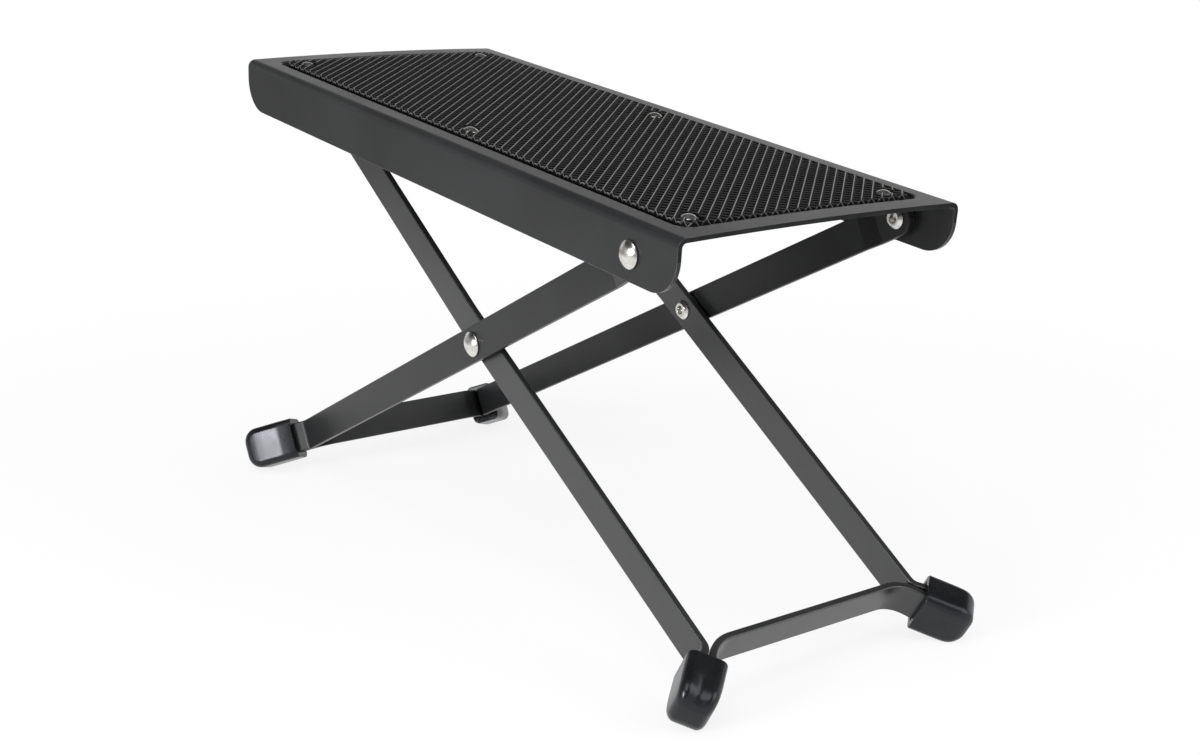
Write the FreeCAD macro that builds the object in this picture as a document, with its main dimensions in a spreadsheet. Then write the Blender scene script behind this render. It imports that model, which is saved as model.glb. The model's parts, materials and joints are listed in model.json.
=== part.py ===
import FreeCAD, Part
import math
import os
import re
import Sketcher
from FreeCAD import Placement, Rotation, Vector

# Folding footstool: a steel tray with a ribbed mat on two crossed frames of bent steel strip.
# Millimetres and degrees. The floor is z = 0, +X is the tray's hinge end, -Y is the near side.
SIZES = {
    # tray, folded from one sheet, with a pressed recess for the mat
    "tray_length": 283.0,
    "tray_width": 115.0,
    "sheet_thickness": 1.5,
    "flange_depth": 19.0,
    "bend_radius": 3.0,
    "flange_corner_radius": 12.0,
    "tray_crown": 0.8,
    "end_margin": 8.5,
    "side_margin": 8.25,
    "recess_depth": 1.5,
    "recess_corner_radius": 6.0,
    "hinge_inset": 22.7,
    "hinge_drop": 10.6,
    # rubber mat with slanting ribs, and the six rivets that hold it
    "mat_gap": 2.7,
    "mat_base": 0.8,
    "rib_height": 2.0,
    "rib_pitch": 3.18,
    "rib_crest": 0.4,
    "rib_valley": 0.3,
    "rib_angle": 45.0,
    "mat_rivet_end": 9.0,
    "mat_rivet_side": 8.95,
    "mat_rivet_head": 6.0,
    "mat_rivet_dome": 1.4,
    "mat_rivet_rim": 0.2,
    "mat_rivet_shank": 3.2,
    "mat_rivet_tail": 5.0,
    "mat_rivet_tail_height": 0.9,
    "mat_rivet_room": 0.15,
    # leg frames, each one flat strip on edge
    "strip_width": 12.4,
    "strip_thickness": 2.4,
    "tip_flat": 0.4,
    "hinge_arm": 114.1,
    "rod_arm": 125.6,
    "outer_reach": 162.5,
    "inner_reach": 144.0,
    "leg_set_in": 5.0,
    "frame_gap": 1.4,
    "leg_taper": 2.0,
    "taper_start": 12.0,
    "tab_reach": 9.0,
    "joggle_radius": 3.0,
    "joggle_run": 6.5,
    "leg_elbow_radius": 4.0,
    "crossbar_elbow_radius": 12.5,
    "ear_angle": 45.0,
    "outer_ear_length": 18.7,
    "inner_ear_length": 14.5,
    "ear_loop_radius": 3.2,
    "neck_gap": 0.4,
    # rubber boots on the ears
    "boot_length": 19.0,
    "boot_wall_side": 2.3,
    "boot_wall_top": 2.3,
    "boot_wall_toe": 3.0,
    "boot_toe_radius": 5.5,
    "boot_edge_radius": 2.5,
    "boot_room": 0.1,
    "sole_flat": 0.5,
    # pivot rivets, their washers and the side play of each joint
    "rivet_diameter": 5.0,
    "rivet_room": 0.05,
    "rivet_head": 9.0,
    "rivet_dome": 2.4,
    "rivet_rim": 0.5,
    "rivet_tail": 7.6,
    "rivet_tail_height": 1.2,
    "rivet_bore": 3.2,
    "rivet_bore_depth": 2.0,
    "side_play": 0.2,
    "hinge_washer": 0.6,
    "washer_diameter": 11.0,
    # height lock: a cross rod between the inner legs and two notched racks under the tray
    "rod_diameter": 6.0,
    "rod_tenon": 4.5,
    "rod_peen": 8.0,
    "rod_peen_height": 0.25,
    "rack_thickness": 2.0,
    "rack_from_leg": 11.3,
    "rack_foot": 12.0,
    "rack_end": 6.0,
    "notch_play": 0.2,
    "notch_angle": 9.0,
    "notch_depth": 4.4,
    "tooth_room": 0.5,
    # how far the stool is opened
    "scissor_angle": 57.4,
    "hinge_angle": 31.6,
}
# notches beside the one in use, steps along the fold, the steepest joggle tried and what counts as touching
NOTCHES_ABOVE = 2
NOTCHES_BELOW = 1
FOLD_STEPS = 60
STEEPEST_JOGGLE = 40.0
TOUCHING = 0.01
SIDES = {"near": -1, "far": 1}

doc = FreeCAD.newDocument("FoldingFootstool")
sheet = doc.addObject("Spreadsheet::Sheet", "Sizes")
pieces = {}


def enter(name, value):
    """Write one size into the sheet under its own name."""
    row = len(sheet.getUsedCells()) // 2 + 1
    sheet.set("A%d" % row, name)
    sheet.set("B%d" % row, repr(float(value)))
    sheet.setAlias("B%d" % row, name)
    known.add(name)


def formula(text):
    """The expression that reads each size named in the text from the sheet."""
    return re.sub(r"[a-z_]+", lambda word: "Sizes." + word[0] if word[0] in known else word[0], text)


def worth(text):
    """The present value of such an expression."""
    return float(sheet.evalExpression(formula(text)))


def derive(name, value):
    """Keep a worked-out size in the sheet, so that sketches can be bound to it."""
    enter(name, value)
    doc.recompute()
    return value


known = set()
for size_name, size_value in SIZES.items():
    enter(size_name, size_value)
doc.recompute()


def sine(angle):
    return math.sin(math.radians(angle))


def cosine(angle):
    return math.cos(math.radians(angle))


def along(heading):
    return Vector(cosine(heading), sine(heading), 0)


def leftward(heading):
    return Vector(-sine(heading), cosine(heading), 0)


def solve(miss, low, high):
    """The value between low and high where miss changes sign."""
    rising = miss(high) > miss(low)
    for _ in range(60):
        middle = (low + high) / 2
        if (miss(middle) > 0) == rising:
            high = middle
        else:
            low = middle
    return (low + high) / 2


# Sketch and feature helpers


def new_body(label, placement=Placement()):
    body = doc.addObject("PartDesign::Body", label)
    body.Label = label
    body.Placement = placement
    pieces[label] = body
    return body


def new_sketch(body, name, role, offset=Placement()):
    """Empty sketch on one of the body's own planes, moved by offset."""
    sketch = body.newObject("Sketcher::SketchObject", body.Name + "_" + name)
    plane = next(item for item in body.Origin.OriginFeatures if item.Role == role)
    sketch.AttachmentSupport = [(plane, "")]
    sketch.MapMode = "FlatFace"
    sketch.AttachmentOffset = offset
    return sketch


def raise_sketch(sketch, text):
    """Lift a sketch off its plane by a bound distance."""
    sketch.setExpression("AttachmentOffset.Base.z", formula(text))
    return sketch


def pin(sketch, edge, end, corner):
    """Hold one end of an edge at a bound place."""
    for axis, text, zero_line in (("X", corner[0], -2), ("Y", corner[1], -1)):
        value = worth(text)
        if abs(value) < 1e-6:
            sketch.addConstraint(Sketcher.Constraint("PointOnObject", edge, end, zero_line))
        else:
            rule = Sketcher.Constraint("Distance" + axis, -1, 1, edge, end, value)
            index = sketch.addConstraint(rule)
            sketch.setExpression("Constraints[%d]" % index, formula(text))


def draw(sketch, loop):
    """Closed outline of lines (two points) and arcs (three points), joined end to end."""
    ends = []
    for points in loop:
        curve = Part.LineSegment(*points) if len(points) == 2 else Part.Arc(*points)
        edge = sketch.addGeometry(curve)
        begins = sketch.getPoint(edge, 1).distanceToPoint(points[0])
        finishes = sketch.getPoint(edge, 2).distanceToPoint(points[0])
        ends.append((edge, 1, 2) if begins < finishes else (edge, 2, 1))
    for here, after in zip(ends, ends[1:] + ends[:1]):
        sketch.addConstraint(Sketcher.Constraint("Coincident", here[0], here[2], after[0], after[1]))
    return ends


def outline(sketch, corners):
    """Closed outline through bound corners; a third entry is the rise, to the left, of an arc to it."""
    points = [Vector(worth(corner[0]), worth(corner[1]), 0) for corner in corners]
    loop = []
    for start, end, corner in zip(points[-1:] + points[:-1], points, corners):
        chord = end - start
        if len(corner) == 2:
            loop.append([start, end])
        else:
            rise = Vector(-chord.y, chord.x, 0).normalize() * worth(corner[2])
            loop.append([start, (start + end) / 2 + rise, end])
    for (edge, _, end), corner in zip(draw(sketch, loop), corners):
        pin(sketch, edge, end, corner)
    return sketch


def rounded_rectangle(sketch, middle, length, width, radius):
    """Rectangle with rounded corners, centred on the X axis at the bound place."""
    right, left = "%s + (%s) / 2" % (middle, length), "%s - (%s) / 2" % (middle, length)
    top, bottom = "(%s) / 2" % width, "-(%s) / 2" % width
    rise = "-(%s) * (1 - cos(45))" % radius
    return outline(sketch, [
        ("%s - (%s)" % (right, radius), bottom),
        (right, "%s + (%s)" % (bottom, radius), rise),
        (right, "%s - (%s)" % (top, radius)),
        ("%s - (%s)" % (right, radius), top, rise),
        ("%s + (%s)" % (left, radius), top),
        (left, "%s - (%s)" % (top, radius), rise),
        (left, "%s + (%s)" % (bottom, radius)),
        ("%s + (%s)" % (left, radius), bottom, rise),
    ])


def circles(sketch, centres, diameter):
    """Circles of one bound diameter at bound centres."""
    for corner in centres:
        centre = Vector(worth(corner[0]), worth(corner[1]), 0)
        edge = sketch.addGeometry(Part.Circle(centre, Vector(0, 0, 1), worth(diameter) / 2))
        pin(sketch, edge, 3, corner)
        index = sketch.addConstraint(Sketcher.Constraint("Diameter", edge, worth(diameter)))
        sketch.setExpression("Constraints[%d]" % index, formula(diameter))
    return sketch


def extrude(kind, body, name, sketch, length, side="One side"):
    """Pad or pocket of a bound length; a pocket without a length goes right through."""
    feature = body.newObject("PartDesign::" + kind, body.Name + "_" + name)
    feature.Profile = sketch
    feature.SideType = side
    if length is None:
        feature.Type = "ThroughAll"
        feature.Midplane = True
    else:
        feature.setExpression("Length", formula(length))
    return feature


def cut(body, name, sketch, length=None, side="One side"):
    """Pocket that must take material away."""
    doc.recompute()
    before = body.Shape.Volume
    feature = extrude("Pocket", body, name, sketch, length, side)
    doc.recompute()
    if body.Shape.Volume >= before:
        raise ValueError("%s in %s cuts nothing" % (name, body.Label))
    return feature


def fillet(body, name, radius, wanted):
    """Round the edges of the body's latest feature for which wanted(edge) holds."""
    doc.recompute()
    base = body.Tip
    names = ["Edge%d" % (i + 1) for i, edge in enumerate(base.Shape.Edges) if wanted(edge)]
    feature = body.newObject("PartDesign::Fillet", body.Name + "_" + name)
    feature.Base = (base, names)
    feature.setExpression("Radius", formula(radius))
    doc.recompute()
    return feature


def turned(label, corners, placement):
    """Piece turned about its own Z axis from a half section, given as radius and height."""
    body = new_body(label, placement)
    sketch = outline(new_sketch(body, "half_section", "XZ_Plane"), corners)
    feature = body.newObject("PartDesign::Revolution", label + "_turning")
    feature.Profile = sketch
    feature.ReferenceAxis = (sketch, ["V_Axis"])
    feature.Angle = 360
    doc.recompute()
    return body


def cap_rise(radius, height):
    """Rise of the half arc of a dome of this radius and height over its chord."""
    sphere = (radius ** 2 + height ** 2) / (2 * height)
    return sphere * (1 - math.cos(math.asin(radius / sphere) / 2))


# Bent strip: the centre line is a list of moves, (length, 0) for a run and (radius, turn) for a bend


def walk(start, heading, moves):
    """Where the centre line ends."""
    point = start
    for size, turn in moves:
        if turn:
            swing = math.copysign(size, turn)
            point = point + (leftward(heading) - leftward(heading + turn)) * swing
        else:
            point = point + along(heading) * size
        heading += turn
    return point


def strip_loop(start, heading, moves):
    """Outline of the strip on edge, seen along its width."""
    half = worth("strip_thickness / 2")
    sides = {1: [], -1: []}
    point = start
    for size, turn in moves:
        for side, edges in sides.items():
            if turn:
                swing = math.copysign(size, turn)
                centre = point + leftward(heading) * swing
                stations = (heading, heading + turn / 2, heading + turn)
                edges.append([centre + leftward(angle) * (side * half - swing) for angle in stations])
            else:
                offset = leftward(heading) * (side * half)
                edges.append([point + offset, point + along(heading) * size + offset])
        point = walk(point, heading, [(size, turn)])
        heading += turn
    back = [edge[::-1] for edge in reversed(sides[-1])]
    first_cap = [back[-1][-1], sides[1][0][0]]
    last_cap = [sides[1][-1][-1], back[0][0]]
    return sides[1] + [last_cap] + back + [first_cap]


# Worked-out sizes: the ears, the lines of the legs across the stool, the boots and the rivets' domes
neck_half = derive("neck_half", worth("(strip_thickness + neck_gap) / 2"))
loop_radius = worth("ear_loop_radius")
for frame in ("outer", "inner"):
    ear_length = worth(frame + "_ear_length")
    loop_angle = math.asin(loop_radius / math.hypot(neck_half, ear_length))
    derive(frame + "_ear_spread", math.degrees(loop_angle - math.atan2(neck_half, ear_length)))
    derive(frame + "_boot_toe", worth(
        frame + "_ear_length + ear_loop_radius + strip_thickness / 2 + boot_room + boot_wall_toe"))
tab_line = derive("tab_line", worth(
    "tray_width / 2 - sheet_thickness - hinge_washer - 2 * side_play - strip_thickness / 2"))
outer_line = derive("outer_line", worth("tab_line - leg_set_in"))
inner_line = derive("inner_line", worth("outer_line - strip_thickness - frame_gap"))
derive("rod_line", worth("inner_line - (rod_arm - taper_start) * tan(leg_taper)"))
boot_width = derive("boot_width", worth(
    "2 * (ear_loop_radius + strip_thickness / 2 + boot_room + boot_wall_side)"))
boot_height = derive("boot_height", worth("strip_width + 2 * (boot_room + boot_wall_top)"))
derive("mat_cap_rise", cap_rise(worth("mat_rivet_head / 2"), worth("mat_rivet_dome - mat_rivet_rim")))
derive("mat_tail_rise", cap_rise(worth("mat_rivet_tail / 2"), worth("mat_rivet_tail_height")))
derive("rivet_cap_rise", cap_rise(worth("rivet_head / 2"), worth("rivet_dome - rivet_rim")))

# Worked-out sizes: the rod's places in the tray's frame, the rack that takes it there, the mat's ribs
scissor_angle = worth("scissor_angle")
fold_ratio = worth("hinge_angle") / scissor_angle
upright = Vector(0, 1, 0)


def rod_in_tray(scissor):
    """Place of the rod in the tray's frame when the legs are opened by this angle."""
    hinge = fold_ratio * scissor
    back = worth("hinge_arm") * cosine(hinge) + worth("rod_arm") * cosine(scissor - hinge)
    drop = worth("hinge_arm") * sine(hinge) - worth("rod_arm") * sine(scissor - hinge)
    return Vector(-back, 0, -drop)


notch_steps = range(-NOTCHES_BELOW, NOTCHES_ABOVE + 1)
notch_places = [rod_in_tray(scissor_angle + step * worth("notch_angle")).x for step in notch_steps]
notch_radius = worth("rod_diameter / 2 + notch_play")
right_end = derive("rack_right", notch_places[-1] + notch_radius + worth("rack_end"))
left_end = derive("rack_left", notch_places[0] - notch_radius - worth("rack_end"))
most_open = scissor_angle + worth("notch_angle")
rod_path = [rod_in_tray(most_open * step / FOLD_STEPS) for step in range(FOLD_STEPS + 1)]
under_rack = [place.z for place in rod_path if place.x > left_end - worth("rod_diameter")]
tooth_tip = max(under_rack) + worth("rod_diameter / 2 + tooth_room")
notch_centre = tooth_tip + worth("notch_depth") - notch_radius
rack_root = worth("hinge_drop - recess_depth - sheet_thickness")
recess_length, recess_width = "(tray_length - 2 * end_margin)", "(tray_width - 2 * side_margin)"
mat_length, mat_width = recess_length + " - 2 * mat_gap", recess_width + " - 2 * mat_gap"
rib_span = worth(mat_length) * cosine(worth("rib_angle")) + worth(mat_width) * sine(worth("rib_angle"))
groove_count = int(rib_span / worth("rib_pitch"))
derive("first_groove", -(groove_count - 1) / 2 * worth("rib_pitch"))


def ear_moves(frame, heading):
    """Corner ear: out from the leg, round a loop, back and into the crossbar."""
    spread = worth(frame + "_ear_spread")
    run = (worth(frame + "_ear_length") - loop_radius * sine(spread)) / cosine(spread), 0
    loop = (loop_radius, -90 - spread)
    outward = (worth("leg_elbow_radius"), worth("ear_angle") + spread - heading)
    inward = (worth("crossbar_elbow_radius"), 180 - worth("ear_angle") + spread - 90)
    return [outward, run, loop, loop, run, inward]


def leg_frame(frame, start, heading, moves, leg_heading, hole_places):
    """One strip bent into two legs, two ears and a crossbar; returns the body and the ear's neck."""
    ear = ear_moves(frame, leg_heading)
    leg_start = walk(start, heading, moves)
    ear_shift = walk(Vector(), leg_heading, ear).x
    leg = (worth(frame + "_reach") - leg_start.x - ear_shift) / cosine(leg_heading)
    half_frame = moves + [(leg, 0)] + ear
    crossbar = 2 * walk(start, heading, half_frame).y
    body = new_body(frame + "_leg_frame")
    sketch = new_sketch(body, "outline", "XY_Plane")
    draw(sketch, strip_loop(start, heading, half_frame + [(crossbar, 0)] + half_frame[::-1]))
    extrude("Pad", body, "strip", sketch, "strip_width", "Symmetric")
    rim, thickness = worth("strip_width / 2"), worth("strip_thickness")

    def at_tip(edge):
        middle = edge.CenterOfMass
        on_rim = abs(abs(middle.z) - rim) < TOUCHING
        across = abs(edge.Length - thickness) < TOUCHING
        return on_rim and across and abs(middle.x - start.x) < thickness / 2

    fillet(body, "tips", "(strip_width - tip_flat) / 2", at_tip)
    for name, place, diameter in hole_places:
        circle = new_sketch(body, name + "_circle", "XZ_Plane")
        cut(body, name, circles(circle, [(place, "0")], diameter))
    elbow_end = walk(start, heading, half_frame[:len(moves) + 2])
    neck = elbow_end - leftward(worth("ear_angle")) * neck_half
    return body, neck


# Outer frame: flat tabs at the tray hinge, a joggle inwards, then legs that close towards the feet
taper = worth("leg_taper")
pivot_hole = "rivet_diameter + 2 * rivet_room"
tab_tip = Vector(-worth("hinge_arm + strip_width / 2"), tab_line, 0)


def joggle_moves(angle):
    radius = worth("joggle_radius")
    tab = (worth("strip_width / 2 + tab_reach"), 0)
    return [tab, (radius, -angle), (worth("joggle_run"), 0), (radius, angle - taper)]


def leg_miss(angle):
    """How far the leg line passes outside its place at the scissor pivot."""
    end = walk(tab_tip, 0, joggle_moves(angle))
    return end.y + end.x * math.tan(math.radians(taper)) - outer_line


joggle_angle = solve(leg_miss, -STEEPEST_JOGGLE, STEEPEST_JOGGLE)
outer_frame, outer_neck = leg_frame(
    "outer", tab_tip, 0, joggle_moves(joggle_angle), -taper,
    [("hinge_hole", "-hinge_arm", pivot_hole), ("scissor_hole", "0", pivot_hole)])

# Inner frame: straight below the scissor pivot, closing above it to stay inside the outer legs
rod_tip = worth("rod_arm + strip_width / 2")
closing = (rod_tip - worth("taper_start")) / cosine(taper)
rod_tip_line = inner_line - closing * sine(taper)
inner_frame, inner_neck = leg_frame(
    "inner", Vector(-rod_tip, rod_tip_line, 0), taper,
    [(closing, 0), (worth("leg_elbow_radius"), -taper)], 0.0,
    [("scissor_hole", "0", pivot_hole), ("rod_hole", "-rod_arm", "rod_tenon + 2 * rivet_room")])

# Boots: how low each one reaches settles the slope of the two frames on the floor


def boot_depth(frame, slope):
    """How far the boot reaches below the neck of its ear when its frame slopes this much."""
    toe, edge = worth("boot_toe_radius"), worth("boot_edge_radius")
    length = worth(frame + "_boot_toe")
    ahead = sine(slope) * cosine(worth("ear_angle"))
    aside = sine(slope) * sine(worth("ear_angle"))
    down = cosine(slope)
    flats = (length - toe) * ahead + (boot_width / 2 - edge) * aside + (boot_height / 2 - toe) * down
    return flats + (toe - edge) * math.hypot(ahead, down) + edge - worth("sole_flat")


def pivot_height(frame, neck, slope):
    return neck.x * sine(slope) + boot_depth(frame, slope)


def height_miss(slope):
    """How much higher the outer frame, sloping this much, holds the scissor pivot than the inner one does."""
    inner_height = pivot_height("inner", inner_neck, scissor_angle - slope)
    return pivot_height("outer", outer_neck, slope) - inner_height


outer_slope = solve(height_miss, 0, scissor_angle)
inner_slope = scissor_angle - outer_slope
tray_slope = worth("hinge_angle") - outer_slope
turned_round = Rotation(Vector(0, 0, 1), 180)
outer_place = Placement(Vector(), Rotation(upright, -outer_slope) * turned_round)
inner_place = Placement(Vector(), Rotation(upright, inner_slope))
hinge_point = outer_place.multVec(Vector(-worth("hinge_arm"), 0, 0))
rod_point = inner_place.multVec(Vector(-worth("rod_arm"), 0, 0))
tray_place = Placement(hinge_point, Rotation(upright, tray_slope))
outer_frame.Placement = outer_place
inner_frame.Placement = inner_place


def boot(frame, side_name, frame_place, neck, side, slope):
    """Rubber boot, a rounded box slipped over an ear and worn flat where it stands."""
    ear, spread, toe = frame + "_ear_length", frame + "_ear_spread", frame + "_boot_toe"
    turn = side * worth("ear_angle")
    neck_place = Placement(Vector(neck.x, side * neck.y, 0), Rotation(Vector(0, 0, 1), turn))
    body = new_body("rubber_foot_%s_%s" % (frame, side_name), frame_place * neck_place)
    low, high, mouth = "-boot_height / 2", "boot_height / 2", toe + " - boot_length"
    rise = "-boot_toe_radius * (1 - cos(45))"
    profile = outline(new_sketch(body, "profile", "XZ_Plane"), [
        (mouth, low),
        (toe + " - boot_toe_radius", low),
        (toe, low + " + boot_toe_radius", rise),
        (toe, high + " - boot_toe_radius"),
        (toe + " - boot_toe_radius", high, rise),
        (mouth, high),
    ])
    extrude("Pad", body, "block", profile, "boot_width", "Symmetric")

    def on_side_rim(edge):
        middle = edge.CenterOfMass
        return abs(abs(middle.y) - boot_width / 2) < TOUCHING and middle.x > worth(mouth) + TOUCHING

    fillet(body, "soft_edges", "boot_edge_radius", on_side_rim)
    hollow = "(ear_loop_radius + strip_thickness / 2 + boot_room)"
    before_mouth = mouth + " - 1"
    mouth_half = "(%s - sin(%s) * (%s - (%s))) / cos(%s)" % (hollow, spread, ear, before_mouth, spread)
    tangent = "%s - %s * sin(%s)" % (ear, hollow, spread)
    round_half = "%s * cos(%s)" % (hollow, spread)
    cavity = outline(new_sketch(body, "cavity", "XY_Plane"), [
        (before_mouth, "-" + mouth_half),
        (tangent, "-" + round_half),
        (tangent, round_half, "-%s * (1 + sin(%s))" % (hollow, spread)),
        (before_mouth, mouth_half),
    ])
    cut(body, "ear_cavity", cavity, "strip_width + 2 * boot_room", "Symmetric")
    floorward = Vector(sine(slope) * cosine(turn), -sine(slope) * sine(turn), -cosine(slope))
    sole_place = Placement(floorward * boot_depth(frame, slope), Rotation(Vector(0, 0, 1), -floorward))
    sole = new_sketch(body, "sole", "XY_Plane", sole_place)
    rounded_rectangle(sole, "0", "3 * " + toe, "3 * " + toe, "boot_edge_radius")
    cut(body, "sole_face", sole, "boot_height")
    return body


for side_name, side in SIDES.items():
    boot("outer", side_name, outer_place, outer_neck, -side, outer_slope)
    boot("inner", side_name, inner_place, inner_neck, side, inner_slope)

# Tray: a folded channel with a crowned top, rounded flange corners and a pressed recess
tray = new_body("tray", tray_place)
half_width, top, low = "tray_width / 2", "hinge_drop", "hinge_drop - flange_depth"
inner_top, inner_side = top + " - sheet_thickness", half_width + " - sheet_thickness"
bend_top, bend_side = top + " - bend_radius", half_width + " - bend_radius"
outer_rise = "bend_radius * (1 - cos(45))"
inner_rise = "-(bend_radius - sheet_thickness) * (1 - cos(45))"
section = new_sketch(tray, "section", "YZ_Plane")
raise_sketch(section, "hinge_inset - tray_length")
outline(section, [
    ("-(%s)" % half_width, low),
    ("-(%s)" % half_width, bend_top),
    ("-(%s)" % bend_side, top, outer_rise),
    (bend_side, top, "tray_crown"),
    (half_width, bend_top, outer_rise),
    (half_width, low),
    (inner_side, low),
    (inner_side, bend_top),
    (bend_side, inner_top, inner_rise),
    ("-(%s)" % bend_side, inner_top, "-tray_crown"),
    ("-(%s)" % inner_side, bend_top, inner_rise),
    ("-(%s)" % inner_side, low),
])
extrude("Pad", tray, "channel", section, "tray_length")
tray_middle = "hinge_inset - tray_length / 2"
pan = raise_sketch(new_sketch(tray, "pan", "XY_Plane"), "hinge_drop - recess_depth - sheet_thickness")
rounded_rectangle(pan, tray_middle, recess_length + " + 2 * sheet_thickness",
                  recess_width + " + 2 * sheet_thickness", "recess_corner_radius + sheet_thickness")
extrude("Pad", tray, "pan_wall", pan, "recess_depth + sheet_thickness")
recess = raise_sketch(new_sketch(tray, "recess", "XY_Plane"), "hinge_drop + tray_crown")
rounded_rectangle(recess, tray_middle, recess_length, recess_width, "recess_corner_radius")
cut(tray, "mat_recess", recess, "recess_depth + tray_crown")


def at_flange_corner(edge):
    middle = edge.CenterOfMass
    ends = worth("hinge_inset"), worth("hinge_inset - tray_length")
    to_end = min(abs(middle.x - end) for end in ends)
    return to_end < TOUCHING and abs(middle.z - worth(low)) < TOUCHING


fillet(tray, "flange_corners", "flange_corner_radius", at_flange_corner)
cut(tray, "hinge_holes", circles(new_sketch(tray, "hinge_circle", "XZ_Plane"), [("0", "0")], pivot_hole))
rivet_column = "(%s / 2 - mat_rivet_end)" % recess_length
rivet_row = "(%s / 2 - mat_rivet_side)" % recess_width
rivet_columns = {"hinge_end": rivet_column, "middle": "0", "rod_end": "-" + rivet_column}
rivet_rows = {name: "%d * %s" % (side, rivet_row) for name, side in SIDES.items()}
rivet_places = [(x, y) for x in rivet_columns.values() for y in rivet_rows.values()]
tray_rivet_places = [("%s + %s" % (tray_middle, x), y) for x, y in rivet_places]
cut(tray, "mat_rivet_holes", circles(
    new_sketch(tray, "mat_rivet_circles", "XY_Plane"), tray_rivet_places, "mat_rivet_shank"))

# Mat rivets: domed heads on the mat's base, tails clenched under the recess
recess_floor = Vector(worth(tray_middle), 0, worth("hinge_drop - recess_depth"))
mat_place = tray_place * Placement(recess_floor, Rotation())
grip = "-(mat_base + sheet_thickness)"
for column, x in rivet_columns.items():
    for row, y in rivet_rows.items():
        seat = Placement(Vector(worth(x), worth(y), worth("mat_base")), Rotation())
        turned("mat_rivet_%s_%s" % (column, row), [
            ("0", grip + " - mat_rivet_tail_height"),
            ("mat_rivet_tail / 2", grip, "-mat_tail_rise"),
            ("mat_rivet_shank / 2", grip),
            ("mat_rivet_shank / 2", "0"),
            ("mat_rivet_head / 2", "0"),
            ("mat_rivet_head / 2", "mat_rivet_rim"),
            ("0", "mat_rivet_dome", "-mat_cap_rise"),
        ], mat_place * seat)

# Pivot rivets with domed heads outside and rolled hollow tails inside, and the washers in each joint


def facing_out(centre, side, distance):
    """Place on a pivot's axis, this far from the middle plane, with Z pointing outwards."""
    return Placement(centre + Vector(0, side * worth(distance), 0), Rotation(Vector(1, 0, 0), -90 * side))


def pivot_rivet(label, centre, side, outside, inside):
    """Semi-tubular rivet across a joint, from its outer to its inner face."""
    tail = "-(%s - (%s) + 2 * side_play)" % (outside, inside)
    turned(label, [
        ("0", tail + " + rivet_bore_depth"),
        ("rivet_bore / 2", tail + " + rivet_bore_depth"),
        ("rivet_bore / 2", tail + " - rivet_tail_height"),
        ("rivet_tail / 2", tail, "-rivet_tail_height / 3"),
        ("rivet_diameter / 2", tail),
        ("rivet_diameter / 2", "0"),
        ("rivet_head / 2", "0"),
        ("rivet_head / 2", "rivet_rim"),
        ("0", "rivet_dome", "-rivet_cap_rise"),
    ], facing_out(centre, side, outside + " + side_play"))


def washer(label, centre, side, outside, thickness):
    """Flat ring on a pivot rivet, its outer face at the given distance from the middle plane."""
    hole = "(rivet_diameter / 2 + rivet_room)"
    turned(label, [
        (hole, "-(%s)" % thickness),
        ("washer_diameter / 2", "-(%s)" % thickness),
        ("washer_diameter / 2", "0"),
        (hole, "0"),
    ], facing_out(centre, side, outside))


for side_name, side in SIDES.items():
    pivot_rivet("hinge_rivet_" + side_name, hinge_point, side,
                half_width, "tab_line - strip_thickness / 2")
    pivot_rivet("scissor_rivet_" + side_name, Vector(), side,
                "outer_line + strip_thickness / 2", "inner_line - strip_thickness / 2")
    washer("hinge_washer_" + side_name, hinge_point, side,
           inner_side + " - side_play", "hinge_washer")
    washer("scissor_spacer_" + side_name, Vector(), side,
           "outer_line - strip_thickness / 2 - side_play", "frame_gap - 2 * side_play")

# Height lock: the cross rod between the inner legs, peened over outside them
rod_body = "rod_line - strip_thickness / 2 - side_play"
rod_shoulder = "rod_line + strip_thickness / 2 + side_play"
rod_half = [
    ("rod_peen / 2", rod_shoulder + " + rod_peen_height"),
    ("rod_peen / 2", rod_shoulder),
    ("rod_tenon / 2", rod_shoulder),
    ("rod_tenon / 2", rod_body),
    ("rod_diameter / 2", rod_body),
]
lower_half = [(radius, "-(%s)" % height) for radius, height in rod_half]
rod_end = rod_half[0][1]
turned("lock_rod", [("0", "-(%s)" % rod_end)] + lower_half + rod_half[::-1] + [("0", rod_end)],
       Placement(rod_point, Rotation(Vector(1, 0, 0), 90)))

# Racks: notched plates under the recess; each notch takes the rod when the tray is let down


def rack_loop():
    """Side view of a rack: straight root, square ends and round-topped notches along the lower edge."""
    loop = [[Vector(left_end, rack_root, 0), Vector(left_end, tooth_tip, 0)]]
    for place in notch_places:
        left, right = place - notch_radius, place + notch_radius
        top = Vector(place, notch_centre + notch_radius, 0)
        mouth_left, mouth_right = Vector(left, tooth_tip, 0), Vector(right, tooth_tip, 0)
        arc_left, arc_right = Vector(left, notch_centre, 0), Vector(right, notch_centre, 0)
        loop.append([loop[-1][-1], mouth_left])
        loop.append([mouth_left, arc_left])
        loop.append([arc_left, top, arc_right])
        loop.append([arc_right, mouth_right])
    corner, root = Vector(right_end, tooth_tip, 0), Vector(right_end, rack_root, 0)
    return loop + [[loop[-1][-1], corner], [corner, root], [root, loop[0][0]]]


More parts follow.
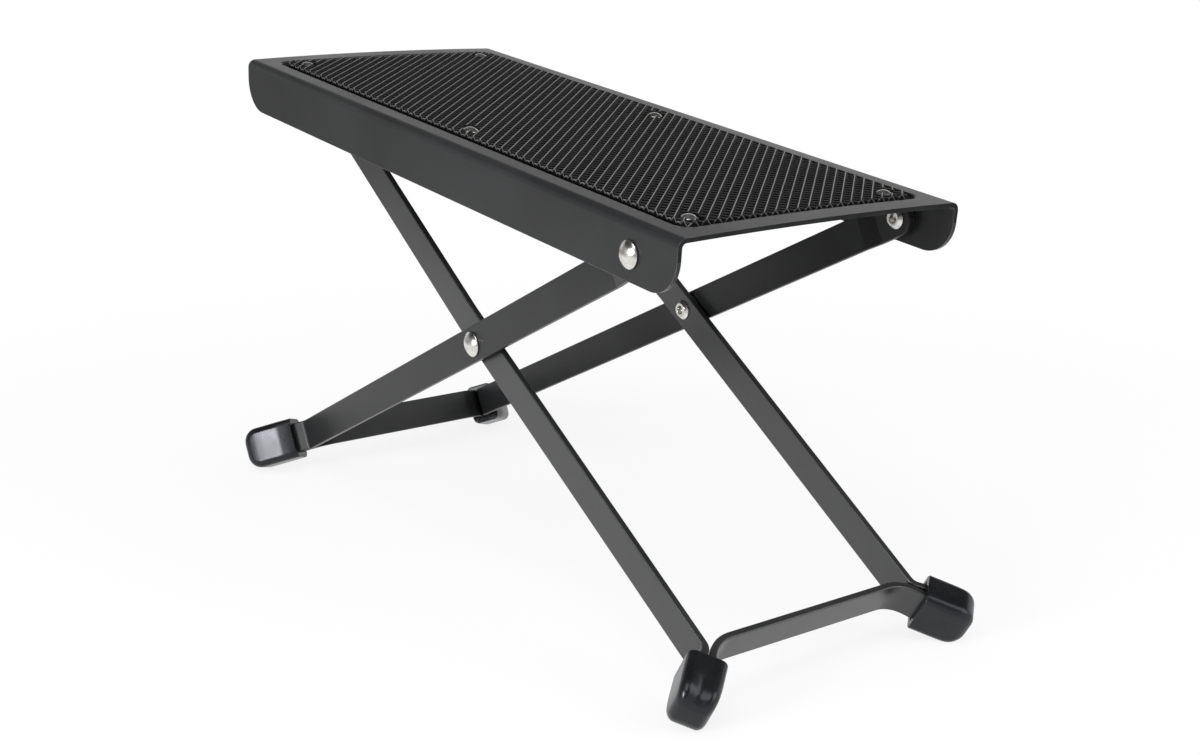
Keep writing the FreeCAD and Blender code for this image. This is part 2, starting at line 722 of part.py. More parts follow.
for side_name, side in SIDES.items():
    web_place = Placement(Vector(0, side * worth("rod_line - rack_from_leg"), 0), Rotation())
    rack = new_body("height_rack_" + side_name, tray_place * web_place)
    web = new_sketch(rack, "web", "XZ_Plane")
    draw(web, rack_loop())
    extrude("Pad", rack, "web_plate", web, "rack_thickness", "Symmetric")
    foot = raise_sketch(new_sketch(rack, "foot", "XY_Plane"),
                        "hinge_drop - recess_depth - sheet_thickness - rack_thickness")
    outline(foot, [
        ("rack_left", "-rack_foot / 2"),
        ("rack_right", "-rack_foot / 2"),
        ("rack_right", "rack_foot / 2"),
        ("rack_left", "rack_foot / 2"),
    ])
    extrude("Pad", rack, "foot_plate", foot, "rack_thickness")

# Mat: a rubber sheet in the recess, moulded with slanting ribs and seats for the rivet heads
mat_top = "(mat_base + rib_height)"
mat = new_body("ribbed_mat", mat_place)
slab = new_sketch(mat, "sheet", "XY_Plane")
rounded_rectangle(slab, "0", mat_length, mat_width, "recess_corner_radius - mat_gap")
extrude("Pad", mat, "slab", slab, mat_top)
across_ribs = Placement(Vector(), Rotation(Vector(0, 1, 0), worth("rib_angle")))
groove = outline(new_sketch(mat, "groove", "XZ_Plane", across_ribs), [
    ("first_groove - rib_valley / 2", "mat_base"),
    ("first_groove + rib_valley / 2", "mat_base"),
    ("first_groove + (rib_pitch - rib_crest) / 2", mat_top),
    ("first_groove - (rib_pitch - rib_crest) / 2", mat_top),
])
first_groove = extrude("Pocket", mat, "first_groove", groove, None)
grooves = mat.newObject("PartDesign::LinearPattern", "ribbed_mat_grooves")
grooves.Originals = [first_groove]
grooves.Direction = (groove, ["H_Axis"])
grooves.Mode = "Spacing"
grooves.setExpression("Offset", formula("rib_pitch"))
grooves.Occurrences = groove_count
mat.Tip = grooves
seats = raise_sketch(new_sketch(mat, "seat_circles", "XY_Plane"), mat_top)
circles(seats, rivet_places, "mat_rivet_head + 2 * mat_rivet_room")
cut(mat, "rivet_seats", seats, "rib_height")
holes = circles(new_sketch(mat, "hole_circles", "XY_Plane"), rivet_places, "mat_rivet_shank")
cut(mat, "rivet_holes", holes)

# Stand the stool on the floor with the origin under the middle of its bounding box
boxes = [piece.Shape.optimalBoundingBox() for piece in pieces.values()]
middle_x = (min(box.XMin for box in boxes) + max(box.XMax for box in boxes)) / 2
scissor_point = Vector(-middle_x, 0, pivot_height("inner", inner_neck, inner_slope))
for piece in pieces.values():
    piece.Placement = Placement(scissor_point, Rotation()) * piece.Placement
doc.recompute()

for item in doc.Objects:
    if "Invalid" in item.State or "Error" in item.State:
        raise ValueError("%s failed: %s" % (item.Label, item.State))
for label, piece in pieces.items():
    if piece.Shape.isNull() or not piece.Shape.isValid() or len(piece.Shape.Solids) != 1:
        raise ValueError("%s is not one valid solid" % label)

os.makedirs("parts", exist_ok=True)
for label, piece in pieces.items():
    piece.Shape.exportStep("parts/%s.step" % label)

print("pieces", len(pieces))
print("scissor pivot", scissor_point)
print("tray hinge", scissor_point + hinge_point)
print("rod", scissor_point + rod_point)
print("slopes of outer frame, inner frame and tray", outer_slope, inner_slope, tray_slope)
print("fold ratio", fold_ratio)
print("rod below its notch", notch_centre - rod_in_tray(scissor_angle).z)
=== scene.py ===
import json
import math

import bmesh
import bpy
from mathutils import Matrix, Vector

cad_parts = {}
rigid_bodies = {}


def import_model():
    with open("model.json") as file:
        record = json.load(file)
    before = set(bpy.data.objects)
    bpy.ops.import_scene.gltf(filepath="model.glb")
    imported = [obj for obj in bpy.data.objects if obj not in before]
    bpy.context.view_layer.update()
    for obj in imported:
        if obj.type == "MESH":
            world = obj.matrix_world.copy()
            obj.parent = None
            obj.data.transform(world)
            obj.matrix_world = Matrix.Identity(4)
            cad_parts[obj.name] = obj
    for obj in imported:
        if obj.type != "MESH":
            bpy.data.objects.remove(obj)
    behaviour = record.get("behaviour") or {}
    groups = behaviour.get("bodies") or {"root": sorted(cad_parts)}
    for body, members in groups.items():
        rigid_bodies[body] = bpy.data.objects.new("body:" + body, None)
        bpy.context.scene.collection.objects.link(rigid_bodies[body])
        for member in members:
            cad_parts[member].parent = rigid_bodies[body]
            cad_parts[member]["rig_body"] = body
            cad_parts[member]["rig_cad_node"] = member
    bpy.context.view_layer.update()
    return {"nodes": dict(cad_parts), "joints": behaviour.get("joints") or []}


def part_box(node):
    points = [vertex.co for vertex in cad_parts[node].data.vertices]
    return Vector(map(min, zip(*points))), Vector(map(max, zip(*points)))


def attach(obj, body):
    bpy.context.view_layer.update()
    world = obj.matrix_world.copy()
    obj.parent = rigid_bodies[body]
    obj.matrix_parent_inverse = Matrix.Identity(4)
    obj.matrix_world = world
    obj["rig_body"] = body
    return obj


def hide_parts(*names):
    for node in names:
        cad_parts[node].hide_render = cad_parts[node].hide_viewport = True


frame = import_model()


# Tray: one 1.5 mm steel sheet with both long edges folded down and a shallow recess pressed into its top.
# Its ends are left as cut, slightly crowned, and the flanges' lower corners are rounded off.
# Satin black powder coat covers it all round.

MM = 0.001
tolerance = 0.01 * MM
tray_length, tray_width, flange_depth = 283 * MM, 115 * MM, 19 * MM
sheet, bend_radius, flange_corner, crown = 1.5 * MM, 3 * MM, 12 * MM, 0.8 * MM
end_margin, side_margin = 8.5 * MM, 8.25 * MM
recess_depth, recess_corner, press_radius = 1.5 * MM, 6 * MM, 0.7 * MM
hinge_inset, hinge_drop = 22.7 * MM, 10.6 * MM
cut_edge = 0.3 * MM
bend_steps, corner_steps, recess_steps, press_steps, crown_cuts = 8, 14, 8, 4, 14

joint_places = {joint["name"]: Vector(joint["pos_m"]) for joint in frame["joints"]}
hinge_point = joint_places["tray_fold"]
hinge_end, rod_end = (
    sum(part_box("mat_rivet_%s_near" % column), Vector()) / 2 for column in ("hinge_end", "rod_end")
)
tray_slope = math.atan2(rod_end.z - hinge_end.z, hinge_end.x - rod_end.x)
hinge_in_tray = Vector((tray_length / 2 - hinge_inset, 0, -hinge_drop))
tray_place = (Matrix.Translation(hinge_point) @ Matrix.Rotation(tray_slope, 4, "Y")
              @ Matrix.Translation(-hinge_in_tray))

bpy.ops.object.select_all(action="DESELECT")
bpy.ops.mesh.primitive_plane_add(size=1)
tray = bpy.context.object
tray.name = "tray_pressing"
tray.scale = (tray_length, tray_width, 1)
bpy.ops.object.transform_apply(scale=True)
bpy.ops.object.mode_set(mode="EDIT")


def pick(piece, kind, test):
    """In edit mode, selects the vertices, edges or faces of the piece that pass the test."""
    bpy.ops.mesh.select_mode(type=kind)
    bpy.ops.mesh.select_all(action="DESELECT")
    shape = bmesh.from_edit_mesh(piece.data)
    for item in {"VERT": shape.verts, "EDGE": shape.edges, "FACE": shape.faces}[kind]:
        item.select_set(test(item))
    shape.select_flush_mode()
    bmesh.update_edit_mesh(piece.data)


def middle(item):
    """Middle of an edge or face."""
    return sum((corner.co for corner in item.verts), Vector()) / len(item.verts)


def near(value, target):
    """True where two lengths are the same but for rounding."""
    return abs(value - target) < tolerance


# The long edges are folded down and the flanges' lower corners rounded off
pick(tray, "EDGE", lambda edge: near(abs(middle(edge).y), tray_width / 2))
bpy.ops.mesh.extrude_edges_move(TRANSFORM_OT_translate={"value": (0, 0, -flange_depth)})
pick(tray, "EDGE", lambda edge: near(abs(middle(edge).y), tray_width / 2) and near(middle(edge).z, 0))
bpy.ops.mesh.bevel(offset=bend_radius, segments=bend_steps, affect="EDGES")
pick(tray, "VERT", lambda vert: near(vert.co.z, -flange_depth))
bpy.ops.mesh.bevel(offset=flange_corner, segments=corner_steps, affect="VERTICES")

# The recess is pressed into the top, rounded at its corners and along its rims
flat_half = tray_width / 2 - bend_radius
side_inset = side_margin - bend_radius
pick(tray, "FACE", lambda face: near(middle(face).z, 0) and near(middle(face).y, 0))
bpy.ops.mesh.inset(thickness=side_inset)
bpy.ops.transform.resize(value=((tray_length / 2 - end_margin) / (tray_length / 2 - side_inset), 1, 1))
bpy.ops.mesh.extrude_region_move(TRANSFORM_OT_translate={"value": (0, 0, -recess_depth)})
pick(tray, "EDGE", lambda edge: near(middle(edge).z, -recess_depth / 2) and abs(middle(edge).y) < flat_half)
bpy.ops.mesh.bevel(offset=recess_corner, segments=recess_steps, affect="EDGES")


def on_recess_rim(edge):
    place = middle(edge)
    level = near(place.z, 0) or near(place.z, -recess_depth)
    within_ends = abs(place.x) < tray_length / 2 - end_margin + tolerance
    within_sides = abs(place.y) < flat_half - side_inset + tolerance
    tall = any(near(face.normal.z, 0) for face in edge.link_faces)
    return level and within_ends and within_sides and tall


pick(tray, "EDGE", on_recess_rim)
bpy.ops.mesh.bevel(offset=press_radius, segments=press_steps, affect="EDGES")
for step in range(1, crown_cuts):
    bpy.ops.mesh.select_all(action="SELECT")
    cut_at = flat_half * (2 * step / crown_cuts - 1)
    bpy.ops.mesh.bisect(plane_co=(0, cut_at, 0), plane_no=(0, 1, 0))
bpy.ops.object.mode_set(mode="OBJECT")

# The top is crowned between the bends, and the crown fades out down the recess's wall
for vert in tray.data.vertices:
    if abs(vert.co.y) < flat_half:
        share = 1 + max(-1, vert.co.z / recess_depth)
        vert.co.z += crown * share * (1 - (vert.co.y / flat_half) ** 2)


def only(piece):
    """Selects one object alone and makes it the active one."""
    bpy.ops.object.select_all(action="DESELECT")
    piece.select_set(True)
    bpy.context.view_layer.objects.active = piece


def finish_with(piece, kind, **settings):
    """Adds one modifier and applies it."""
    only(piece)
    modifier = piece.modifiers.new(kind, kind)
    for name, value in settings.items():
        setattr(modifier, name, value)
    bpy.ops.object.modifier_apply(modifier=modifier.name)


def smooth(piece, degrees):
    """Smooth shading up to an angle, with the large faces left flat beside their eased edges."""
    only(piece)
    bpy.ops.object.shade_smooth_by_angle(angle=math.radians(degrees))
    finish_with(piece, "WEIGHTED_NORMAL", weight=60, keep_sharp=True)


def put(piece, place):
    """Moves a finished piece to its place and leaves its object unturned at the origin."""
    only(piece)
    piece.matrix_world = place
    bpy.ops.object.transform_apply(location=True, rotation=True, scale=True)


# The sheet gets its thickness and its eased edges, and goes to its place
finish_with(tray, "SOLIDIFY", thickness=sheet, offset=-1, use_even_offset=True)
finish_with(tray, "BEVEL", width=cut_edge, segments=2, limit_method="ANGLE", angle_limit=math.radians(50))
smooth(tray, degrees=35)
sheared_faces = [face.index for face in tray.data.polygons
                 if abs(face.normal.x) > 0.9 and near(abs(face.center.x), tray_length / 2)]
put(tray, tray_place)


def give(tree, socket, value):
    """Sets a socket to a value, or links it to the socket that feeds it."""
    if isinstance(value, bpy.types.NodeSocket):
        tree.links.new(value, socket)
    else:
        socket.default_value = value


def feed(tree, node, **inputs):
    """Gives a node's inputs, by name, their values or links."""
    for name, value in inputs.items():
        give(tree, node.inputs[name.replace("_", " ")], value)


def node_in(tree, kind, **inputs):
    """Adds a shader node with its inputs."""
    node = tree.nodes.new(kind)
    feed(tree, node, **inputs)
    return node


def node_group(name, inputs, outputs):
    """Starts a shader node group with named sockets, and returns it with its two end nodes."""
    group = bpy.data.node_groups.new(name, "ShaderNodeTree")
    for label, value in inputs.items():
        socket = group.interface.new_socket(label, in_out="INPUT", socket_type="NodeSocketFloat")
        socket.default_value = value
    for label in outputs:
        group.interface.new_socket(label, in_out="OUTPUT", socket_type="NodeSocketFloat")
    return group, group.nodes.new("NodeGroupInput"), group.nodes.new("NodeGroupOutput")


def sum_node(tree, operation, first, second):
    """Math node on two values, each a number or a socket."""
    node = tree.nodes.new("ShaderNodeMath")
    node.operation = operation
    for socket, value in zip(node.inputs, (first, second)):
        give(tree, socket, value)
    return node.outputs[0]


def spread(tree, value, low, high, to_low, to_high):
    """Map Range node from one span of values to another, held at its ends."""
    node = node_in(tree, "ShaderNodeMapRange", Value=value, From_Min=low, From_Max=high,
                   To_Min=to_low, To_Max=to_high)
    return node.outputs["Result"]


def noise(tree, scale, detail, roughness):
    """Noise on the piece's own coordinates, in features per metre."""
    place = tree.nodes.new("ShaderNodeTexCoord").outputs["Object"]
    texture = node_in(tree, "ShaderNodeTexNoise", Vector=place, Scale=scale, Detail=detail,
                      Roughness=roughness)
    return texture.outputs["Fac"]


# Parts of a noise's range that patches and slow drifts are made of
patch_span, drift_span = (0.35, 0.65), (0.3, 0.7)

# Coat texture: the fine orange peel of baked powder, and slow changes of tone over a panel
coat_texture, coat_in, coat_out = node_group(
    "coat_texture", {"Peel Scale": 1500.0, "Tone Scale": 25.0}, ("Height", "Tone"))
peel = noise(coat_texture, scale=1.0, detail=3.0, roughness=0.55)
coat_texture.links.new(coat_in.outputs["Peel Scale"], peel.node.inputs["Scale"])
tone = noise(coat_texture, scale=1.0, detail=4.0, roughness=0.6)
coat_texture.links.new(coat_in.outputs["Tone Scale"], tone.node.inputs["Scale"])
coat_texture.links.new(peel, coat_out.inputs["Height"])
coat_texture.links.new(tone, coat_out.inputs["Tone"])

# Edge rub and highlight: a mask along the eased edges, broken up by noise. On the powder coats it paints a
# highlight line along the edges and polishes them a little (lower roughness); on the boots and rivets it
# marks where handling has scuffed or dulled the edges.
flat_facing, edge_facing, least_edge_share = 0.995, 0.80, 0.35
edge_rub_and_highlight, edge_mask_in, edge_mask_out = node_group("edge_rub_and_highlight", {"Width": 0.6 * MM, "Break Up": 900.0}, ("Mask",))
rounded = edge_rub_and_highlight.nodes.new("ShaderNodeBevel")
rounded.samples = 6
edge_rub_and_highlight.links.new(edge_mask_in.outputs["Width"], rounded.inputs["Radius"])
facing = edge_rub_and_highlight.nodes.new("ShaderNodeVectorMath")
facing.operation = "DOT_PRODUCT"
edge_rub_and_highlight.links.new(rounded.outputs["Normal"], facing.inputs[0])
edge_rub_and_highlight.links.new(edge_rub_and_highlight.nodes.new("ShaderNodeNewGeometry").outputs["Normal"], facing.inputs[1])
turned_away = spread(edge_rub_and_highlight, facing.outputs["Value"], flat_facing, edge_facing, 0.0, 1.0)
patches = noise(edge_rub_and_highlight, scale=1.0, detail=3.0, roughness=0.6)
edge_rub_and_highlight.links.new(edge_mask_in.outputs["Break Up"], patches.node.inputs["Scale"])
edge_rub_and_highlight.links.new(
    sum_node(edge_rub_and_highlight, "MULTIPLY", turned_away, spread(edge_rub_and_highlight, patches, *patch_span, least_edge_share, 1.0)),
    edge_mask_out.inputs["Mask"])


def new_material(name):
    """Material with its Principled shader, ready for the piece's own nodes."""
    material = bpy.data.materials.new(name)
    material.use_nodes = True
    return material, material.node_tree, material.node_tree.nodes["Principled BSDF"]


def add_group(tree, group, **inputs):
    """Adds a node group with its inputs."""
    node = tree.nodes.new("ShaderNodeGroup")
    node.node_tree = group
    feed(tree, node, **inputs)
    return node


def mix_colour(tree, share, first, second):
    """Mix of two colours by a mask; a colour may be a socket."""
    node = tree.nodes.new("ShaderNodeMix")
    node.data_type = "RGBA"
    tree.links.new(share, node.inputs["Factor"])
    for label, colour in (("A", first), ("B", second)):
        socket = next(entry for entry in node.inputs if entry.name == label and entry.type == "RGBA")
        give(tree, socket, (*colour, 1) if isinstance(colour, tuple) else colour)
    return next(entry for entry in node.outputs if entry.type == "RGBA")


def patchy(tree, mask, first, second):
    """Colour that changes from one to the other in the patches of a noise."""
    return mix_colour(tree, spread(tree, mask, *patch_span, 0, 1), first, second)


def uneven(tree, mask, low, high):
    """Value that drifts between two ends with a noise."""
    return spread(tree, mask, *drift_span, low, high)


def bump(tree, height, strength, distance):
    """Normal of a surface with this height on it."""
    node = node_in(tree, "ShaderNodeBump", Height=height, Strength=strength, Distance=distance)
    return node.outputs["Normal"]


def wear(material, pieces):
    """Gives pieces one material in place of what they had."""
    for piece in pieces:
        piece.data.materials.clear()
        piece.data.materials.append(material)


coat_dark, coat_light = (0.0125, 0.0128, 0.0135), (0.0185, 0.0190, 0.0200)
# Painted highlight colours for lighter lines along the coat's edges; the brighter one is for the tray's
# edges.
coat_edge_highlight, cut_edge_highlight = (0.110, 0.111, 0.114), (0.180, 0.180, 0.184)
coat_satin, rub_polish, coat_edge_break_up = (0.31, 0.39), 0.08, 700
peel_scale, peel_strength, peel_depth = 1500, 0.12, 0.15 * MM


def powder_coat(name, tone_scale, gloss, edge_highlight, highlight_width):
    """Black powder coat; each batch has its own drift of tone, its own gloss and its own painted highlight
    along the edges.
    """
    material, tree, shader = new_material(name)
    texture = add_group(tree, coat_texture, Peel_Scale=peel_scale, Tone_Scale=tone_scale)
    edge_mask_node = add_group(tree, edge_rub_and_highlight, Width=highlight_width, Break_Up=coat_edge_break_up)
    panel = patchy(tree, texture.outputs["Tone"], coat_dark, coat_light)
    satin = uneven(tree, texture.outputs["Tone"], *coat_satin)
    polish = sum_node(tree, "MULTIPLY", edge_mask_node.outputs["Mask"], rub_polish)
    feed(tree, shader,
         # The edge mask mixes in the painted highlight colour along the edges.
         Base_Color=mix_colour(tree, edge_mask_node.outputs["Mask"], panel, edge_highlight),
         Roughness=sum_node(tree, "SUBTRACT", satin, polish),
         Normal=bump(tree, texture.outputs["Height"], peel_strength, peel_depth),
         Specular_IOR_Level=gloss)
    return material


# The tray's coat paints a bright highlight along its eased edges; the sheared end faces get a coat with
# little gloss and a fainter painted edge highlight.
tray_coat = powder_coat("tray_coat", tone_scale=22, gloss=0.34, edge_highlight=cut_edge_highlight, highlight_width=0.35 * MM)
sheared_coat = powder_coat("sheared_edge_coat", tone_scale=60, gloss=0.08, edge_highlight=coat_edge_highlight,
                           highlight_width=0.2 * MM)
wear(tray_coat, [tray])
tray.data.materials.append(sheared_coat)
for index in sheared_faces:
    tray.data.polygons[index].material_index = 1
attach(tray, "tray_top")
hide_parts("tray")


# Mat: moulded rubber sheet lying loose in the recess, with tall narrow ribs across it at 45 degrees.
# Low bars cross the valleys between the ribs, and the sheet is cut to size through the pattern,
# so its edge shows the ribs' profile.

mat_gap, mat_base, rib_height, rib_pitch = 2.7 * MM, 0.8 * MM, 2 * MM, 3.18 * MM
rib_crest, rib_valley, rib_angle = 0.3 * MM, 0.4 * MM, math.radians(45)
bar_pitch, bar_top, bar_foot, bar_height = rib_pitch, 0.9 * MM, 1.7 * MM, 1.2 * MM
mat_length, mat_width = tray_length - 2 * (end_margin + mat_gap), tray_width - 2 * (side_margin + mat_gap)
mat_corner = recess_corner - mat_gap
rib_cells, corner_cuts = 4, 5
merge_reach = 0.001 * MM
mat_place = tray_place @ Matrix.Translation((0, 0, -recess_depth))

# One rib from valley to valley over one bar, then the whole field of them
bpy.ops.object.select_all(action="DESELECT")
bpy.ops.mesh.primitive_grid_add(x_subdivisions=rib_cells, y_subdivisions=rib_cells, size=1)
mat = bpy.context.object
mat.name = "ribbed_rubber_mat"
flank = (rib_pitch - rib_crest - rib_valley) / 2
for vert in mat.data.vertices:
    column, row = (round(rib_cells * (along + 0.5)) for along in vert.co.xy)
    lift = bar_height if row in (1, 2) else 0
    foot = flank * (1 - lift / rib_height)
    across = (-rib_crest / 2 - foot, -rib_crest / 2, rib_crest / 2, rib_crest / 2 + foot,
              rib_pitch - rib_crest / 2 - foot)[column]
    along = (-bar_foot / 2, -bar_top / 2, bar_top / 2, bar_foot / 2, bar_pitch - bar_foot / 2)[row]
    vert.co = (across, along, mat_base + (rib_height if column in (1, 2) else lift))
reach = mat_length + mat_width
for offset, pitch in (((0, bar_pitch, 0), bar_pitch), ((rib_pitch, 0, 0), rib_pitch)):
    finish_with(mat, "ARRAY", count=int(reach / pitch), use_relative_offset=False,
                use_constant_offset=True, constant_offset_displace=offset,
                use_merge_vertices=True, merge_threshold=merge_reach)
field = Matrix.Translation((-reach / 2, -reach / 2, 0))
put(mat, Matrix.Rotation(rib_angle, 4, "Z") @ field)

# The field is cut to the mat's outline, and its edge goes down to the underside
bpy.ops.object.mode_set(mode="EDIT")


def trim(x, y, degrees):
    """Cuts the mat off beyond a line through a point, square to a direction in its own plane."""
    outward = (math.cos(math.radians(degrees)), math.sin(math.radians(degrees)), 0)
    bpy.ops.mesh.select_all(action="SELECT")
    bpy.ops.mesh.bisect(plane_co=(x, y, 0), plane_no=outward, clear_outer=True)


for turn, half in ((0, mat_length / 2), (90, mat_width / 2), (180, mat_length / 2), (270, mat_width / 2)):
    trim(half * math.cos(math.radians(turn)), half * math.sin(math.radians(turn)), turn)
for quarter, (sign_x, sign_y) in enumerate(((1, 1), (-1, 1), (-1, -1), (1, -1))):
    for step in range(corner_cuts):
        degrees = 90 * (quarter + (step + 0.5) / corner_cuts)
        direction = Vector((math.cos(math.radians(degrees)), math.sin(math.radians(degrees))))
        centre = Vector((sign_x * (mat_length / 2 - mat_corner), sign_y * (mat_width / 2 - mat_corner)))
        tangent = centre + direction * mat_corner
        trim(tangent.x, tangent.y, degrees)
pick(mat, "EDGE", lambda edge: edge.is_boundary)
bpy.ops.mesh.extrude_edges_move(TRANSFORM_OT_translate={"value": (0, 0, -mat_base)})
for vert in bmesh.from_edit_mesh(mat.data).verts:
    if vert.select:
        vert.co.z = 0
bpy.ops.mesh.edge_face_add()
bpy.ops.object.mode_set(mode="OBJECT")

# The rivets' heads press the ribs down to the sheet under them
rivet_head = 6 * MM
pressed_reach = 0.52 * rivet_head
rivet_boxes = {}
for column in ("hinge_end", "middle", "rod_end"):
    for side in ("near", "far"):
        rivet_boxes[column, side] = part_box("mat_rivet_%s_%s" % (column, side))
to_mat = mat_place.inverted()
pressed = [to_mat @ (sum(box, Vector()) / 2) for box in rivet_boxes.values()]
for vert in mat.data.vertices:
    if vert.co.z > mat_base:
        away = min((vert.co.xy - place.xy).length for place in pressed)
        if away < pressed_reach:
            vert.co.z = mat_base

# For the colours, which paint the mat's shade and highlights: how high each point lies on a rib, and which
# lie on a bar or on the cut edge
rib_levels = mat.data.attributes.new("rib_level", "FLOAT", "POINT")
bar_levels = mat.data.attributes.new("bar_level", "FLOAT", "POINT")
for vert in mat.data.vertices:
    rib_levels.data[vert.index].value = max(0.0, (vert.co.z - mat_base) / rib_height)
    bar_levels.data[vert.index].value = float(near(vert.co.z, mat_base + bar_height))
cut_levels = mat.data.attributes.new("cut_level", "FLOAT", "POINT")
for face in mat.data.polygons:
    if abs(face.normal.z) < 0.1:
        for index in face.vertices:
            cut_levels.data[index].value = float(mat.data.vertices[index].co.z > 0)
put(mat, mat_place)
bpy.ops.object.shade_smooth_by_angle(angle=math.radians(25))


def surface_value(tree, name):
    """Value kept on the mesh's points under this name."""
    node = tree.nodes.new("ShaderNodeAttribute")
    node.attribute_name = name
    return node.outputs["Fac"]


# The mat's colours paint its light and shade: the valley colour is painted shade deep between the ribs, and
# the bar and crest colours are painted highlights on the bar tops, the rib crests and the cut edge.
rubber_valley_shade, rubber_face = (0.0025, 0.0025, 0.0027), (0.0055, 0.0055, 0.006)
rubber_bar_highlight, rubber_crest_highlight = (0.036, 0.036, 0.037), (0.26, 0.26, 0.265)
rubber_matt, crumb_scale, crumb_strength, crumb_depth = (0.55, 0.72), 1800, 0.15, 0.1 * MM
side_span, bar_span, crest_span, cut_span = (0.0, 0.75), (0.8, 1.0), (0.98, 1.0), (0.75, 0.92)
cut_share, highlight_break_up = 0.6, (0.6, 1)
mat_rubber, tree, shader = new_material("mat_rubber")
rib_level = surface_value(tree, "rib_level")
bar_level = surface_value(tree, "bar_level")
crumbs = noise(tree, crumb_scale, detail=3, roughness=0.6)
# Painted shade darkens the rib sides towards the valleys, painted highlights light the bar tops, and painted
# highlight lines run along the crests and the cut edge, broken up by the crumbs.
rib_side = mix_colour(tree, spread(tree, rib_level, *side_span, 0, 1), rubber_valley_shade, rubber_face)
barred = mix_colour(tree, spread(tree, bar_level, *bar_span, 0, 1), rib_side, rubber_bar_highlight)
crest_highlight = spread(tree, rib_level, *crest_span, 0, 1)
cut_highlight = spread(tree, surface_value(tree, "cut_level"), *cut_span, 0, cut_share)
highlight_lines = sum_node(tree, "MAXIMUM", crest_highlight, cut_highlight)
broken_highlights = sum_node(tree, "MULTIPLY", highlight_lines, uneven(tree, crumbs, *highlight_break_up))
feed(tree, shader,
     Base_Color=mix_colour(tree, broken_highlights, barred, rubber_crest_highlight),
     Roughness=uneven(tree, crumbs, *rubber_matt),
     Normal=bump(tree, crumbs, crumb_strength, crumb_depth),
     Specular_IOR_Level=0.10)

wear(mat_rubber, [mat])
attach(mat, "tray_top")
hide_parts("ribbed_mat")


# Mat rivets: six small nickel-plated steel rivets with low domed heads hold the mat down.
# They are headed from wire, set through mat and sheet, and clenched to a button under the recess.

rivet_rim, rivet_dome, rivet_shank = 0.7 * MM, 2.1 * MM, 1.6 * MM
button_length, button_radius = 0.9 * MM, 2.5 * MM
rivet_edge, button_tip = 0.16 * MM, 0.55


def domed_rivet(name, radius, rim, dome, shank, grip, tail, bore):
    """Rivet along Z with its head's seat at the origin: domed head above, shank and closed tail below.
    The tail is a length and a radius; the bore, where there is one, is a radius and a depth."""
    segments, rings = 40, 7
    bpy.ops.object.select_all(action="DESELECT")
    bpy.ops.mesh.primitive_cylinder_add(vertices=segments, radius=radius, depth=rim,
                                        location=(0, 0, rim / 2))
    rivet = bpy.context.object
    rivet.name = name
    bpy.ops.object.transform_apply(location=True)
    bpy.ops.object.mode_set(mode="EDIT")
    pick(rivet, "FACE", lambda face: face.normal.z > 0.9)
    rise = dome - rim
    ball = (radius * radius + rise * rise) / (2 * rise)
    opening = math.asin(radius / ball)
    for ring in range(1, rings):
        outer, inner = (opening * (rings - at) / rings for at in (ring - 1, ring))
        bpy.ops.mesh.inset(thickness=ball * (math.sin(outer) - math.sin(inner)))
        bpy.ops.transform.translate(value=(0, 0, ball * (math.cos(inner) - math.cos(outer))))
    bpy.ops.mesh.poke(offset=ball * (1 - math.cos(opening / rings)))
    pick(rivet, "FACE", lambda face: face.normal.z < -0.9)
    bpy.ops.mesh.inset(thickness=radius - shank)
    bpy.ops.mesh.extrude_region_move(TRANSFORM_OT_translate={"value": (0, 0, -grip)})
    tail_length, tail_radius = tail
    bpy.ops.mesh.extrude_region_move()
    bpy.ops.transform.resize(value=(tail_radius / shank, tail_radius / shank, 1))
    bpy.ops.mesh.extrude_region_move(TRANSFORM_OT_translate={"value": (0, 0, -tail_length)})
    if bore:
        bore_radius, bore_depth = bore
        lip = (tail_radius + bore_radius) / 2
        bpy.ops.transform.resize(value=(lip / tail_radius, lip / tail_radius, 1))
        bpy.ops.mesh.inset(thickness=lip - bore_radius)
        bpy.ops.mesh.extrude_region_move(TRANSFORM_OT_translate={"value": (0, 0, bore_depth)})
    else:
        bpy.ops.transform.resize(value=(button_tip, button_tip, 1))
    bpy.ops.object.mode_set(mode="OBJECT")
    finish_with(rivet, "BEVEL", width=rivet_edge, segments=3, limit_method="ANGLE",
                angle_limit=math.radians(35))
    smooth(rivet, degrees=40)
    return rivet


def copies_at(model, places):
    """One copy of a modelled piece at each named place, each with a mesh of its own."""
    made = {}
    for name, place in places.items():
        piece = model.copy()
        piece.data = model.data.copy()
        piece.name = name
        bpy.context.scene.collection.objects.link(piece)
        put(piece, place)
        made[name] = piece
    bpy.data.objects.remove(model)
    return made


small_rivet = domed_rivet("small_rivet", rivet_head / 2, rivet_rim, rivet_dome, rivet_shank,
                          mat_base + sheet, (button_length, button_radius), None)
rivet_places = {}
for number, (column, side) in enumerate(rivet_boxes):
    seat = to_mat @ (sum(rivet_boxes[column, side], Vector()) / 2)
    place = Matrix.Translation((seat.x, seat.y, mat_base)) @ Matrix.Rotation(number, 4, "Z")
    rivet_places["small_rivet_%s_%s" % (column, side)] = mat_place @ place
mat_rivets = copies_at(small_rivet, rivet_places)

